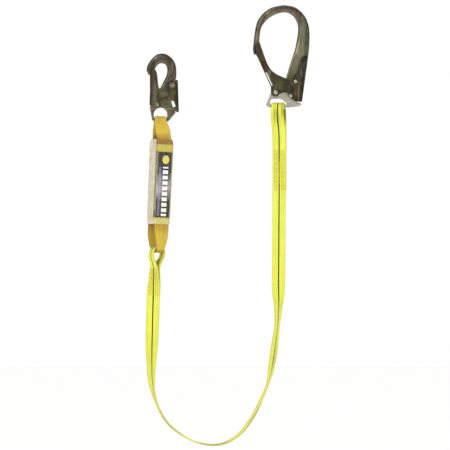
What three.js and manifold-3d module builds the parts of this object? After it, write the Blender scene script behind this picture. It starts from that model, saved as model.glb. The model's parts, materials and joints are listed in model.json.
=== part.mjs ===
// Shock absorbing lanyard, hung up by its two hooks.
//
// A large rebar hook and a small snap hook carry a yellow web strap between them. Under the snap hook a
// shock absorber pack joins the two: a clear sleeve around folded tear webbing. Both hooks open with a
// sprung gate that a sprung lever on the hook's back keeps locked.
//
// Millimetres, +Z up, +X right, -Y towards the viewer. The origin is the top of the rebar hook's inside,
// where the hook bears on its anchor.

import * as THREE from 'three';
import { mergeVertices } from 'three/addons/utils/BufferGeometryUtils.js';
import Module from 'manifold-3d';

const wasm = await Module();
wasm.setup();

// ---------------------------------------------------------------------------------------------
// Driving dimensions
// ---------------------------------------------------------------------------------------------

const GAP = 0.3; // working gap between neighbouring pieces
const THROUGH = 40; // longer than any piece is thick, for cutting right through

const REBAR = {
  thickness: 12, // forged body
  edgeRadius: 2.4,
  sheet: 2, // pressed steel of the gate and the lever
  gateInner: 12.6, // clear width inside the gate channel
  leverInner: 17.2, // clear width inside the lever channel, which spans the gate
  gatePivot: [-13, -167],
  leverPivot: [28.6, -144.5],
  eyeRivet: [18.9, -174.3],
  shankRadius: 3.2,
  springPocket: 8, // radius of the pocket a spring sits in
  springFloor: 1.6, // how far in front of the body's middle the pocket ends
  springRadius: 4.9,
  headRadius: 5,
  smallHeadRadius: 4.25,
  headHeight: 2.3,
  eyeThickness: 6,
};

const SNAP = {
  position: [-252, 0, -106], // top of the snap hook's inside
  thickness: 11,
  eyeThickness: 7.2,
  edgeRadius: 2.2,
  sheet: 1.8,
  gateInner: 11.6,
  leverInner: 15.8,
  gatePivot: [-9.5, -86.4],
  leverPivot: [23.7, -45.6],
  shankRadius: 2.9,
  springPocket: 7.5,
  springFloor: 0.9,
  springRadius: 4.5,
  headRadius: 5,
  headHeight: 2.2,
};

const SPRING = { wireRadius: 0.55, turns: 2.5, length: 4.1, leg: 4.5, clearance: 0.2 };

const WEB = { width: 28, thickness: 3 };

const PACK = {
  position: [-255.3, 0, -355], // middle of the absorber pack
  lean: THREE.MathUtils.degToRad(2.4),
  turn: THREE.MathUtils.degToRad(34.5), // how far the pack faces to the right
  length: 178,
  width: 43,
  depthTop: 36,
  depthBottom: 30,
  wall: 0.8,
  cornerRadius: 7,
  webThickness: 2.6,
  webWidth: 36,
};

// ---------------------------------------------------------------------------------------------
// Solid helpers
// ---------------------------------------------------------------------------------------------

function toSolid(geometry) {
  const bare = geometry.clone();
  bare.deleteAttribute('normal');
  bare.deleteAttribute('uv');
  const welded = mergeVertices(bare, 1e-4);
  const mesh = new wasm.Mesh({
    numProp: 3,
    vertProperties: new Float32Array(welded.attributes.position.array),
    triVerts: new Uint32Array(welded.index.array),
  });
  return new wasm.Manifold(mesh);
}

function toGeometry(solid) {
  const mesh = solid.getMesh();
  const geometry = new THREE.BufferGeometry();
  geometry.setAttribute('position', new THREE.BufferAttribute(mesh.vertProperties, 3));
  geometry.setIndex(new THREE.BufferAttribute(mesh.triVerts, 1));
  geometry.computeVertexNormals();
  return geometry;
}

function cut(geometry, ...tools) {
  let solid = toSolid(geometry);
  for (const tool of tools) {
    solid = solid.subtract(toSolid(tool));
  }
  return toGeometry(solid);
}

function join(first, second) {
  return toGeometry(toSolid(first).add(toSolid(second)));
}

// A cylinder whose axis lies along Y, at a point of the hook's own plane.
function pin(radius, length, [x, z], y = 0, sides = 24) {
  return new THREE.CylinderGeometry(radius, radius, length, sides).translate(x, y, z);
}

// ---------------------------------------------------------------------------------------------
// Flat outlines, drawn in the hook's plane as [x, z]
// ---------------------------------------------------------------------------------------------

// Each stretch is { line: points }, { curve: points } for a smooth line, or { arc: [x, z, radius, from, to] }
// in degrees. Outer outlines run clockwise and holes the other way.
function outline(start, ...stretches) {
  const shape = new THREE.Shape();
  shape.moveTo(...start);
  for (const stretch of stretches) {
    if (stretch.line) {
      stretch.line.forEach((point) => shape.lineTo(...point));
    } else if (stretch.curve) {
      shape.splineThru(stretch.curve.map(([x, z]) => new THREE.Vector2(x, z)));
    } else {
      const [x, z, radius, from, to] = stretch.arc;
      const { degToRad } = THREE.MathUtils;
      shape.absarc(x, z, radius, degToRad(from), degToRad(to), to < from);
    }
  }
  return shape;
}

// A plate of the given outline, its middle on y = 0 and its edges rounded.
function plate(shape, thickness, edgeRadius = 0, curveSegments = 3) {
  const depth = thickness - 2 * edgeRadius;
  const geometry = new THREE.ExtrudeGeometry(shape, {
    depth,
    curveSegments,
    bevelEnabled: edgeRadius > 0,
    bevelThickness: edgeRadius,
    bevelSize: edgeRadius,
    bevelOffset: -edgeRadius,
    bevelSegments: 2,
  });
  return geometry.translate(0, 0, -depth / 2).rotateX(Math.PI / 2);
}

// A slot with round ends between two points.
function slot([x1, z1], [x2, z2], radius) {
  const along = Math.atan2(z2 - z1, x2 - x1);
  const shape = new THREE.Shape();
  shape.absarc(x1, z1, radius, along + Math.PI / 2, along + (3 * Math.PI) / 2, false);
  shape.absarc(x2, z2, radius, along - Math.PI / 2, along + Math.PI / 2, false);
  return shape;
}

// Sheet steel folded into a channel: the cavity takes everything but the two sides and the folded edge.
function channel(shape, cavity, innerWidth, sheet, ...holes) {
  const block = plate(shape, innerWidth + 2 * sheet);
  const inside = plate(cavity, innerWidth);
  return cut(block, inside, ...holes);
}

// ---------------------------------------------------------------------------------------------
// Rivets and springs
// ---------------------------------------------------------------------------------------------

// A rivet along Y with a domed head at each end; grip is the distance between the heads.
function rivet(shankRadius, headRadius, headHeight, grip) {
  const half = grip / 2;
  const profile = [
    [0, -half - headHeight],
    [headRadius * 0.45, -half - headHeight],
    [headRadius * 0.85, -half - headHeight * 0.6],
    [headRadius, -half],
    [shankRadius, -half],
    [shankRadius, half],
    [headRadius, half],
    [headRadius * 0.85, half + headHeight * 0.6],
    [headRadius * 0.45, half + headHeight],
    [0, half + headHeight],
  ];
  return new THREE.LatheGeometry(profile.map(([r, y]) => new THREE.Vector2(r, y)), 18);
}

// Wire wound about the Y axis, with a straight leg at each end that stays inside the spring's pocket.
class SpringWire extends THREE.Curve {
  constructor(radius, turns, length, leg) {
    super();
    Object.assign(this, { radius, turns, length, leg });
  }

  getPoint(t, target = new THREE.Vector3()) {
    const legShare = 0.06;
    const coil = THREE.MathUtils.clamp((t - legShare) / (1 - 2 * legShare), 0, 1);
    const angle = coil * this.turns * 2 * Math.PI;
    const out = Math.max(legShare - t, t - 1 + legShare, 0) / legShare;
    const side = t < 0.5 ? -1 : 1;
    const x = this.radius * Math.cos(angle) - side * out * this.leg * Math.sin(angle);
    const z = this.radius * Math.sin(angle) + side * out * this.leg * Math.cos(angle);
    return target.set(x, (coil - 0.5) * this.length, z);
  }
}

// A torsion spring standing just clear of its pocket's floor.
function torsionSpring(meanRadius, springFloor) {
  const { wireRadius, turns, length, leg, clearance } = SPRING;
  const wire = new THREE.Shape();
  wire.absarc(0, 0, wireRadius, 0, 2 * Math.PI, false);
  const spring = new THREE.ExtrudeGeometry(wire, {
    extrudePath: new SpringWire(meanRadius, turns, length - 2 * wireRadius, leg),
    steps: 48,
    curveSegments: 3,
    bevelEnabled: false,
  });
  return spring.translate(0, springFloor + clearance + length / 2, 0);
}

// ---------------------------------------------------------------------------------------------
// Webbing
// ---------------------------------------------------------------------------------------------

// A flat strap bent along a hand-chosen route. Each entry is [x, y, z, across, width], where across is the
// direction of the strap's width there. The strap is one closed solid with square ends.
function strap(route, thickness, stepsPerPoint = 4) {
  const middle = new THREE.CatmullRomCurve3(route.map(([x, y, z]) => new THREE.Vector3(x, y, z)));
  const acrossCurve = new THREE.CatmullRomCurve3(route.map((entry) => new THREE.Vector3(...entry[3])));
  const widthCurve = new THREE.SplineCurve(route.map((entry, i) => new THREE.Vector2(i, entry[4])));
  const steps = (route.length - 1) * stepsPerPoint;
  const geometry = new THREE.BoxGeometry(1, thickness, 1, 1, 1, steps);
  const position = geometry.attributes.position;
  const corner = new THREE.Vector3();
  for (let i = 0; i < position.count; i += 1) {
    corner.fromBufferAttribute(position, i);
    const t = corner.z + 0.5;
    const tangent = middle.getTangent(t);
    const across = acrossCurve.getPoint(t);
    across.addScaledVector(tangent, -across.dot(tangent)).normalize();
    const face = new THREE.Vector3().crossVectors(tangent, across);
    const width = widthCurve.getPoint(t).y;
    const point = middle.getPoint(t);
    point.addScaledVector(across, corner.x * width).addScaledVector(face, corner.y);
    position.setXYZ(i, point.x, point.y, point.z);
  }
  geometry.computeVertexNormals();
  return geometry;
}

// ---------------------------------------------------------------------------------------------
// Materials and nodes
// ---------------------------------------------------------------------------------------------

const finishes = {
  forged: { color: 0x8f897c, roughness: 0.42, metalness: 0.9 },
  pressed: { color: 0x595040, roughness: 0.38, metalness: 0.9 },
  rivet: { color: 0xd4d0c4, roughness: 0.28, metalness: 1 },
  zinc: { color: 0xc9cac6, roughness: 0.3, metalness: 1 },
  spring: { color: 0x9a9a98, roughness: 0.3, metalness: 1 },
  yellowWeb: { color: 0xe2ea58, roughness: 0.85, metalness: 0 },
  goldWeb: { color: 0xdcb93f, roughness: 0.85, metalness: 0 },
  tearWeb: { color: 0xe9e3c2, roughness: 0.9, metalness: 0 },
  sleeve: { color: 0xe6e2cf, roughness: 0.25, metalness: 0, transparent: true, opacity: 0.35 },
  label: { color: 0x2c2925, roughness: 0.4, metalness: 0 },
  thread: { color: 0x83803a, roughness: 0.8, metalness: 0 },
};

const lanyard = new THREE.Group();
lanyard.name = 'shock_absorbing_lanyard';

function addPiece(parent, name, geometry, finish) {
  const mesh = new THREE.Mesh(geometry, new THREE.MeshStandardMaterial(finishes[finish]));
  mesh.name = name;
  parent.add(mesh);
  return mesh;
}

// ---------------------------------------------------------------------------------------------
// Rebar hook
// ---------------------------------------------------------------------------------------------

function rebarHookBody() {
  const { gatePivot, leverPivot, eyeRivet, shankRadius, thickness, edgeRadius, eyeThickness } = REBAR;
  const { springPocket, springFloor } = REBAR;
  const [gx, gz] = gatePivot;
  const shape = outline(
    [-58.5, -89],
    { curve: [[-60.3, -77], [-58.8, -62], [-56.8, -44], [-52, -21], [-41, -4], [-22, 10], [4, 15.5]] },
    { curve: [[25, 12], [41, 0.5], [51.5, -14], [57, -33], [57.9, -56], [56.8, -77], [55.4, -91]] },
    { line: [[43, -96.5], [43, -106], [39, -145], [34.5, -187], [26, -186.5]] },
    { curve: [[18.5, -182.5], [12.5, -176], [8, -168.5], [2, -166.5], [-4.2, -169.2]] },
    { arc: [gx, gz, 8.8, -20, -250] },
    { line: [[-9, -150]] },
    { curve: [[0, -142.5], [8.5, -138]] },
    { curve: [[14.5, -118], [21, -97], [27.5, -78], [31.5, -58], [34.3, -40], [33, -24], [26, -9.5]] },
    { curve: [[14, -1.2], [0, 0], [-15, -4.6], [-29.6, -13.7], [-39.5, -25], [-45.2, -38], [-47.6, -63]] },
    { line: [[-52.8, -66.5], [-53.4, -76], [-54.2, -88]] },
  );
  const rivetHole = shankRadius + GAP;
  const pocketMiddle = springFloor + thickness / 2;
  const eyeSlot = outline([-3, -162.5], { line: [[60, -162.5], [60, -200], [-3, -200]] });
  return cut(
    plate(shape, thickness, edgeRadius),
    pin(rivetHole, THROUGH, gatePivot),
    pin(rivetHole, THROUGH, leverPivot),
    pin(rivetHole, THROUGH, eyeRivet),
    pin(springPocket, thickness, gatePivot, pocketMiddle),
    pin(springPocket, thickness, leverPivot, pocketMiddle),
    plate(eyeSlot, eyeThickness + 2 * GAP),
  );
}

function rebarGate() {
  const { gatePivot, gateInner, sheet, shankRadius } = REBAR;
  const [px, pz] = gatePivot;
  const shape = outline(
    [-54.4, -65.6],
    { line: [[-46.8, -61.4]] },
    { curve: [[-41, -79], [-35.3, -94.8], [-29.6, -109], [-21, -122], [-9.7, -130.3], [3.2, -136]] },
    { line: [[13, -140.5], [17.6, -145], [17.2, -150], [11.4, -155]] },
    { arc: [px, pz, 27, 26, -8] },
    { curve: [[6, -168], [-2.2, -170.8]] },
    { arc: [px, pz, 10.4, -22, -200] },
    { line: [[-23, -156], [-50.5, -95], [-54.6, -88]] },
  );
  const cavity = outline(
    [-49.9, -50],
    { line: [[60, -50], [60, -200], [-40, -200], [-40, -157.5], [-26, -157.5], [-21, -155]] },
    { line: [[-48.7, -94.2], [-50.5, -89.6]] },
  );
  const rivetHole = pin(shankRadius + GAP, THROUGH, gatePivot);
  const edgeSlot = plate(slot([-32.8, -126.5], [-21, -152.2], 1.2), THROUGH);
  // Only the side plates reach over the hook's nose; the folded edge stops short of it.
  const noseEdge = outline([-46, -55], { line: [[-46, -64], [-52, -68], [-52, -91], [-60, -91], [-60, -55]] });
  return channel(shape, cavity, gateInner, sheet, rivetHole, edgeSlot, plate(noseEdge, gateInner));
}

function rebarLockLever() {
  const { leverPivot, leverInner, sheet, shankRadius } = REBAR;
  const [px, pz] = leverPivot;
  const shape = outline(
    [40.6, -97],
    { line: [[50, -89.5], [55.2, -91], [53.8, -103], [42.2, -187.5], [26.5, -186.5], [25, -180]] },
    { line: [[25, -158]] },
    { arc: [px, pz, 9, 247, 140] },
    { curve: [[30, -124], [35.4, -110.5], [40.6, -97]] },
  );
  // The folded edge stops below the hook's shoulder; the two ears above it lap over the hook.
  const cavity = outline(
    [70, -80],
    { line: [[70, -103], [51.8, -103], [40.1, -187.5], [39.5, -200], [0, -200], [0, -80]] },
  );
  return channel(shape, cavity, leverInner, sheet, pin(shankRadius + GAP, THROUGH, leverPivot));
}

// The web eye: a plate held in the fork at the foot of the body, with a long slot for the web.
function rebarEyePlate() {
  const { gatePivot, eyeRivet, eyeThickness, shankRadius } = REBAR;
  const [px, pz] = gatePivot;
  const shape = outline(
    [8, -163.5],
    { line: [[30.5, -165], [31, -188]] },
    { curve: [[36.5, -189.8], [41, -192], [41, -195], [37.5, -197.6], [24, -199.8], [4, -201.8]] },
    { curve: [[-14, -201.2], [-28, -200], [-33, -195.5], [-32.4, -189], [-28.4, -180], [-24.6, -169.6]] },
  );
  const lobe = pin(10.8, THROUGH, gatePivot);
  const corner = outline([-26, -163], { line: [[-1.5, -163], [-1.5, -171], [-13, -178], [-26, -168.5]] });
  const webSlot = outline(
    [-18, -194.3],
    { line: [[5.5, -194.3]] },
    { curve: [[9, -192.8], [9.4, -190.2], [6.4, -187.4]] },
    { line: [[-2, -182.4]] },
    { curve: [[-5, -181.5], [-9, -181.5]] },
    { line: [[-18, -181.5]] },
    { arc: [-18, -187.9, 6.4, 90, 270] },
  );
  return cut(
    plate(shape, eyeThickness, 1.5),
    lobe,
    plate(corner, THROUGH),
    plate(webSlot, THROUGH, 0, 8),
    pin(shankRadius + GAP, THROUGH, eyeRivet),
  );
}

function addRebarHook() {
  const hook = new THREE.Group();
  hook.name = 'rebar_hook';
  lanyard.add(hook);
  const { gatePivot, leverPivot, eyeRivet, shankRadius, headRadius, smallHeadRadius, headHeight } = REBAR;
  const gateGrip = REBAR.gateInner + 2 * REBAR.sheet + 2 * GAP;
  const leverGrip = REBAR.leverInner + 2 * REBAR.sheet + 2 * GAP;
  const bodyGrip = REBAR.thickness + 2 * GAP;
  addPiece(hook, 'rebar_hook_body', rebarHookBody(), 'forged');
  addPiece(hook, 'rebar_gate', rebarGate(), 'pressed');
  addPiece(hook, 'rebar_lock_lever', rebarLockLever(), 'pressed');
  addPiece(hook, 'rebar_eye_plate', rebarEyePlate(), 'zinc');
  const rivets = [
    ['rebar_gate_rivet', gatePivot, gateGrip, headRadius, headHeight],
    ['rebar_lever_rivet', leverPivot, leverGrip, smallHeadRadius, headHeight],
    ['rebar_eye_rivet', eyeRivet, bodyGrip, smallHeadRadius, headHeight - GAP],
  ];
  for (const [name, [x, z], grip, radius, height] of rivets) {
    addPiece(hook, name, rivet(shankRadius, radius, height, grip), 'rivet').position.set(x, 0, z);
  }
  const springs = [
    ['rebar_gate_spring', gatePivot],
    ['rebar_lever_spring', leverPivot],
  ];
  for (const [name, [x, z]] of springs) {
    const coil = torsionSpring(REBAR.springRadius, REBAR.springFloor);
    addPiece(hook, name, coil, 'spring').position.set(x, 0, z);
  }
}

// ---------------------------------------------------------------------------------------------
// Snap hook, drawn from the top of its own inside
// ---------------------------------------------------------------------------------------------

function snapHookBody() {
  const { gatePivot, leverPivot, shankRadius, thickness, eyeThickness, edgeRadius } = SNAP;
  const { springPocket, springFloor } = SNAP;
  const hookShape = outline(
    [-26.5, -25.8],
    { curve: [[-30.5, -19], [-31.2, -11.5], [-28.2, -3], [-23, 5.5], [-15.5, 13.8], [-7.5, 18.6], [1, 20]] },
    { curve: [[9.5, 18.4], [17.5, 13.2], [24.5, 5.6], [28.8, -3.5], [30.4, -14], [30.4, -30]] },
    { line: [[27.5, -38], [27, -60], [22, -76], [20.3, -82], [24.6, -97]] },
    { line: [[-25, -97], [-25, -92.8], [-20.8, -86], [-17.5, -72], [-12.5, -56.5], [-4.6, -54.4]] },
    { curve: [[-0.9, -48.3], [5.4, -36.5], [10.1, -26.6], [11.9, -17.6], [11, -8.4], [7, -2.4], [0, 0]] },
    { curve: [[-6.3, -2], [-11.6, -7.5], [-15.2, -13]] },
    { line: [[-21.8, -18.3], [-22.8, -25]] },
  );
  const eyeShape = outline(
    [-25, -91],
    { line: [[18, -86], [24.4, -96.5], [26, -101], [29.5, -104.5], [14.4, -122], [11.5, -123]] },
    { line: [[-16.5, -122.3], [-20.5, -119.5]] },
  );
  const eyeHole = outline(
    [9, -116.3],
    { line: [[11.5, -113.8]] },
    { arc: [-2.5, -108, 14, 0, 180] },
    { line: [[-16.5, -113.8], [-14, -116.3]] },
  );
  eyeShape.holes.push(eyeHole);
  const pocketMiddle = springFloor + thickness / 2;
  const rivetHole = shankRadius + GAP;
  const hookPlate = cut(
    plate(hookShape, thickness, edgeRadius),
    pin(14, THROUGH, [-2.5, -108], 0, 32),
  );
  return cut(
    join(hookPlate, plate(eyeShape, eyeThickness, edgeRadius, 6)),
    pin(rivetHole, THROUGH, gatePivot),
    pin(rivetHole, THROUGH, leverPivot),
    pin(springPocket, thickness, gatePivot, pocketMiddle),
    pin(springPocket, thickness, leverPivot, pocketMiddle),
  );
}

function snapGate() {
  const { gatePivot, gateInner, sheet, shankRadius } = SNAP;
  const shape = outline(
    [-23.6, -18.8],
    { line: [[-14.6, -11.8]] },
    { curve: [[-11.4, -17], [-9, -26.6], [-8, -39.3], [-6.8, -48.3], [-4.6, -53.6]] },
    { line: [[12.2, -50.5], [13.6, -55], [13.6, -86], [10.5, -91.5], [-16, -92.6], [-22.6, -92]] },
    { line: [[-25.6, -87], [-24.4, -59], [-24.8, -27.2], [-24, -26.4]] },
  );
  const cavity = outline(
    [-19.5, -5],
    { line: [[60, -5], [60, -120], [-40, -120], [-40, -88], [-23.8, -88], [-22.6, -59], [-22.6, -33.6]] },
    { line: [[-19.5, -30]] },
  );
  // Only the side plates reach over the hook's nose; the folded edge stops short of it.
  const noseEdge = outline(
    [-18, 0],
    { line: [[-18, -16.6], [-21.2, -19.4], [-21.2, -28.6], [-40, -28.6], [-40, 0]] },
  );
  const rivetHole = pin(shankRadius + GAP, THROUGH, gatePivot);
  return channel(shape, cavity, gateInner, sheet, rivetHole, plate(noseEdge, gateInner));
}

function snapLockLever() {
  const { leverPivot, leverInner, sheet, shankRadius } = SNAP;
  const shape = outline(
    [19, -37.6],
    { line: [[26, -35.9], [33.8, -35.7], [35.9, -101], [34.4, -103.6], [24.6, -100.6]] },
    { line: [[22.4, -93.4], [29.2, -91.4], [25.4, -80.5], [17.5, -77], [15.3, -72], [15.1, -46]] },
  );
  // Its folded edge ends above the plates' foot, which laps over the hook on both sides.
  const cavity = outline(
    [32, -20],
    { line: [[32, -36], [33.9, -98.5], [60, -98.5], [60, -120], [0, -120], [0, -20]] },
  );
  return channel(shape, cavity, leverInner, sheet, pin(shankRadius + GAP, THROUGH, leverPivot));
}

function addSnapHook() {
  const hook = new THREE.Group();
  hook.name = 'snap_hook';
  hook.position.set(...SNAP.position);
  lanyard.add(hook);
  const { gatePivot, leverPivot, shankRadius, headRadius, headHeight } = SNAP;
  const gateGrip = SNAP.gateInner + 2 * SNAP.sheet + 2 * GAP;
  const leverGrip = SNAP.leverInner + 2 * SNAP.sheet + 2 * GAP;
  addPiece(hook, 'snap_hook_body', snapHookBody(), 'forged');
  addPiece(hook, 'snap_gate', snapGate(), 'pressed');
  addPiece(hook, 'snap_lock_lever', snapLockLever(), 'pressed');
  const pivots = [
    ['snap_gate', gatePivot, gateGrip],
    ['snap_lever', leverPivot, leverGrip],
  ];
  for (const [name, [x, z], grip] of pivots) {
    const pivotRivet = rivet(shankRadius, headRadius, headHeight, grip);
    addPiece(hook, `${name}_rivet`, pivotRivet, 'rivet').position.set(x, 0, z);
    const coil = torsionSpring(SNAP.springRadius, SNAP.springFloor);
    addPiece(hook, `${name}_spring`, coil, 'spring').position.set(x, 0, z);
  }
}

// ---------------------------------------------------------------------------------------------
// Lanyard web
// ---------------------------------------------------------------------------------------------

const RIGHT = [1, 0, 0];
const LINK_ACROSS = [0.566, -0.824, 0]; // the web stands edge-on to the pack where it runs through its loop

// The long hanging stretch as [x, z, turn]. At turn 0 the strap's face looks at the viewer, at 90 the strap is
// edge-on, and at 180 its other face looks at the viewer.
const hangingStretch = [
  [-5.6, -330, 0],
  [-7, -570, 6],
  [-7.2, -612, 46],
  [-9.5, -652, 65],
  [-16, -706, 58],
  [-22, -744, 62],
  [-30, -780, 78],
  [-43, -811, 77],
  [-62, -849, 74],
  [-92, -887, 76],
  [-130, -906, 80],
  [-172, -903.5, 84],
  [-210, -886, 90],
  [-244, -856, 93],
  [-266, -810, 98],
  [-273, -772, 119],
  [-273.6, -735, 134],
  [-272.8, -695, 158],
  [-271, -640, 176],
];

// Turns [x, z, turn] into the [x, y, z, across, width] of a strap's route.
function hanging(stretch) {
  return stretch.map(([x, z, turn], i) => {
    const before = stretch[Math.max(i - 1, 0)];
    const after = stretch[Math.min(i + 1, stretch.length - 1)];
    const along = new THREE.Vector2(after[0] - before[0], after[1] - before[1]).normalize();
    const angle = THREE.MathUtils.degToRad(turn);
    const inPlane = Math.cos(angle);
    return [x, 0, z, [-along.y * inPlane, Math.sin(angle), along.x * inPlane], WEB.width];
  });
}

// From the sewn tail behind the rebar eye, round the eye bar, down and round the hanging bend, up through
// the absorber's lower loop and back down to the second sewn tail.
const webRoute = [
  [-4.4, 3.6, -374, RIGHT, 28],
  [-4.2, 3.5, -243, RIGHT, 28],
  [-4.3, 4.4, -222, RIGHT, 27.5],
  [-4.8, 7, -207, RIGHT, 27],
  [-5.8, 6.6, -194.6, RIGHT, 26],
  [-7, 0, -190.2, RIGHT, 25.5],
  [-8.4, -6.6, -194.6, RIGHT, 26],
  [-10, -7, -207, RIGHT, 27],
  [-9.6, -4.4, -222, RIGHT, 27.5],
  [-6.6, -0.6, -246, RIGHT, 28],
  ...hanging(hangingStretch),
  [-269.5, -1.6, -590, [0.99, -0.1, 0], 28],
  [-268.6, -1.7, -562, [0.88, -0.47, 0], 27],
  [-268.6, -3, -532, [0.64, -0.77, 0], 24],
  [-273.4, -8.2, -512, LINK_ACROSS, 21],
  [-271.2, -6.8, -498, LINK_ACROSS, 18],
  [-261.4, 0, -491, LINK_ACROSS, 18],
  [-251.2, 6.8, -498, LINK_ACROSS, 18],
  [-252, 7.4, -512, LINK_ACROSS, 21],
  [-262.4, 1.9, -532, [0.64, -0.77, 0], 24],
  [-266.4, 1.9, -562, [0.88, -0.47, 0], 27],
  [-269, 1.9, -592, [0.99, -0.1, 0], 28],
];

// The sewn patch that closes the loop round the absorber's loop follows the web where it turns.
const absorberSeamRoute = [
  [-270.5, -5.2, -564, [0.88, -0.47, 0], 21],
  [-270.6, -5.3, -578, [0.94, -0.33, 0], 22],
  [-270.1, -5.3, -592, [0.99, -0.1, 0], 22],
];

function addWeb() {
  const seam = { width: WEB.width - 4, thickness: 0.6, length: 78 };
  addPiece(lanyard, 'lanyard_web', strap(webRoute, WEB.thickness), 'yellowWeb');
  const rebarSeam = new THREE.BoxGeometry(seam.width, seam.thickness, seam.length);
  addPiece(lanyard, 'rebar_end_stitching', rebarSeam, 'thread').position.set(-5.6, -2.2, -331);
  addPiece(lanyard, 'absorber_end_stitching', strap(absorberSeamRoute, seam.thickness), 'thread');
}

// ---------------------------------------------------------------------------------------------
// Shock absorber pack, in its own leaning and turned frame: +X across, -Y its front, +Z up
// ---------------------------------------------------------------------------------------------

// The pack is deeper at its top than at its bottom.
function taperDepth(geometry) {
  const middleDepth = (PACK.depthTop + PACK.depthBottom) / 2;
  const position = geometry.attributes.position;
  for (let i = 0; i < position.count; i += 1) {
    const height = position.getZ(i) / PACK.length;
    const depth = middleDepth + (PACK.depthTop - PACK.depthBottom) * height;
    position.setY(i, (position.getY(i) * depth) / middleDepth);
  }
  geometry.computeVertexNormals();
  return geometry;
}

function roundedSection(width, depth, radius) {
  const [x, y] = [width / 2, depth / 2];
  const shape = new THREE.Shape();
  shape.absarc(x - radius, y - radius, radius, 0, Math.PI / 2, false);
  shape.absarc(radius - x, y - radius, radius, Math.PI / 2, Math.PI, false);
  shape.absarc(radius - x, radius - y, radius, Math.PI, 1.5 * Math.PI, false);
  shape.absarc(x - radius, radius - y, radius, 1.5 * Math.PI, 2 * Math.PI, false);
  return shape;
}

function sleeve() {
  const depth = (PACK.depthTop + PACK.depthBottom) / 2;
  const outer = roundedSection(PACK.width, depth, PACK.cornerRadius);
  const inner = roundedSection(
    PACK.width - 2 * PACK.wall,
    depth - 2 * PACK.wall,
    PACK.cornerRadius - PACK.wall,
  );
  outer.holes.push(inner);
  const tube = new THREE.ExtrudeGeometry(outer, { depth: PACK.length, curveSegments: 3, bevelEnabled: false });
  return taperDepth(tube.translate(0, 0, -PACK.length / 2));
}

function label() {
  const depth = (PACK.depthTop + PACK.depthBottom) / 2;
  const sheet = 0.3;
  const plain = new THREE.BoxGeometry(31, sheet, 137);
  plain.translate(0, -(depth / 2 - PACK.wall - GAP - sheet / 2), -6);
  return taperDepth(plain);
}

// Webbing folded back and forth into a stack of flat layers, seen from its side as a run of hairpins.
function foldedWeb({ layers, pitch, firstLayer, bottom, top, width, thickness }) {
  const straightEnd = 5; // how far from its fold each layer is held flat
  const route = [];
  for (let i = 0; i < layers; i += 1) {
    const y = firstLayer + i * pitch;
    const way = i % 2 === 0 ? 1 : -1;
    const [from, to] = way > 0 ? [bottom, top] : [top, bottom];
    for (const z of [from, from + way * straightEnd, to - way * straightEnd, to]) {
      route.push([0, y, z, RIGHT, width]);
    }
    if (i < layers - 1) {
      route.push([0, y + pitch / 2, to + way * 0.45 * pitch, RIGHT, width]);
    }
  }
  return strap(route, thickness, 2);
}

const packWeb = PACK.webWidth;

// Local routes of the two loops: a tail inside the sleeve, out and round, and back to the second tail. The
// snap hook's bar does not face the same way as the pack, so the top loop turns between the two.
const SNAP_BAR_ACROSS = [0.824, -0.566, 0];
const HALF_TURNED = [0.95, -0.31, 0];
const topLoopRoute = [
  [0, 13.2, 42, RIGHT, packWeb],
  [0, 13.6, 62, RIGHT, packWeb],
  [0, 11.6, 79, RIGHT, packWeb],
  [0, 8.6, 92, RIGHT, 35],
  [0, 8.8, 108, HALF_TURNED, 31],
  [-0.1, 8.8, 124, SNAP_BAR_ACROSS, 26],
  [-0.5, 7.4, 132.5, SNAP_BAR_ACROSS, 25],
  [-3.8, 2.6, 136.5, SNAP_BAR_ACROSS, 25],
  [-7.1, -2.2, 132.5, SNAP_BAR_ACROSS, 25],
  [-7.2, -3.8, 124, SNAP_BAR_ACROSS, 26],
  [-3.6, -6.6, 108, HALF_TURNED, 31],
  [0, -8.6, 92, RIGHT, 35],
  [0, -11.6, 79, RIGHT, packWeb],
  [0, -13.6, 62, RIGHT, packWeb],
  [0, -13.2, 42, RIGHT, packWeb],
];

const bottomLoopRoute = [
  [0, 11.4, -50, RIGHT, packWeb],
  [0, 11.4, -72, RIGHT, packWeb],
  [0, 11.6, -92, RIGHT, packWeb],
  [0, 13.2, -112, RIGHT, 33],
  [0, 13.6, -130, RIGHT, 25],
  [0, 11.8, -141, RIGHT, 19],
  [0, 5.6, -147, RIGHT, 18],
  [0, -5.6, -147, RIGHT, 18],
  [0, -11.8, -141, RIGHT, 19],
  [0, -13.6, -130, RIGHT, 25],
  [0, -13.2, -112, RIGHT, 33],
  [0, -11.6, -92, RIGHT, packWeb],
  [0, -11.4, -72, RIGHT, packWeb],
  [0, -11.4, -50, RIGHT, packWeb],
];

function addAbsorber() {
  const pack = new THREE.Group();
  pack.name = 'shock_absorber';
  pack.position.set(...PACK.position);
  pack.rotation.set(0, PACK.lean, PACK.turn);
  lanyard.add(pack);
  addPiece(pack, 'absorber_sleeve', sleeve(), 'sleeve');
  addPiece(pack, 'absorber_label', label(), 'label');
  addPiece(pack, 'absorber_top_loop', strap(topLoopRoute, PACK.webThickness), 'goldWeb');
  addPiece(pack, 'absorber_bottom_loop', strap(bottomLoopRoute, PACK.webThickness), 'goldWeb');
  const tearWeb = { layers: 5, pitch: 2.7, firstLayer: -8.2, bottom: -58, top: 60, width: 35, thickness: 2.2 };
  addPiece(pack, 'folded_tear_web', foldedWeb(tearWeb), 'tearWeb');
  const backupWeb = { layers: 2, pitch: 2.9, firstLayer: 5.6, bottom: -56, top: 58, width: 25, thickness: 2.2 };
  addPiece(pack, 'folded_backup_web', foldedWeb(backupWeb), 'goldWeb');
}

addRebarHook();
addSnapHook();
addWeb();
addAbsorber();

export default lanyard;
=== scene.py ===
"""Shock absorbing lanyard: the looks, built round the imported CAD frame.

Metres, +Z up, the viewer looks along +Y. Forged and pressed steel is refined from the CAD shapes; webbing,
stitching, sleeve, label and rivets are built here from their own dimensions.
"""

import json
import math

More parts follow.
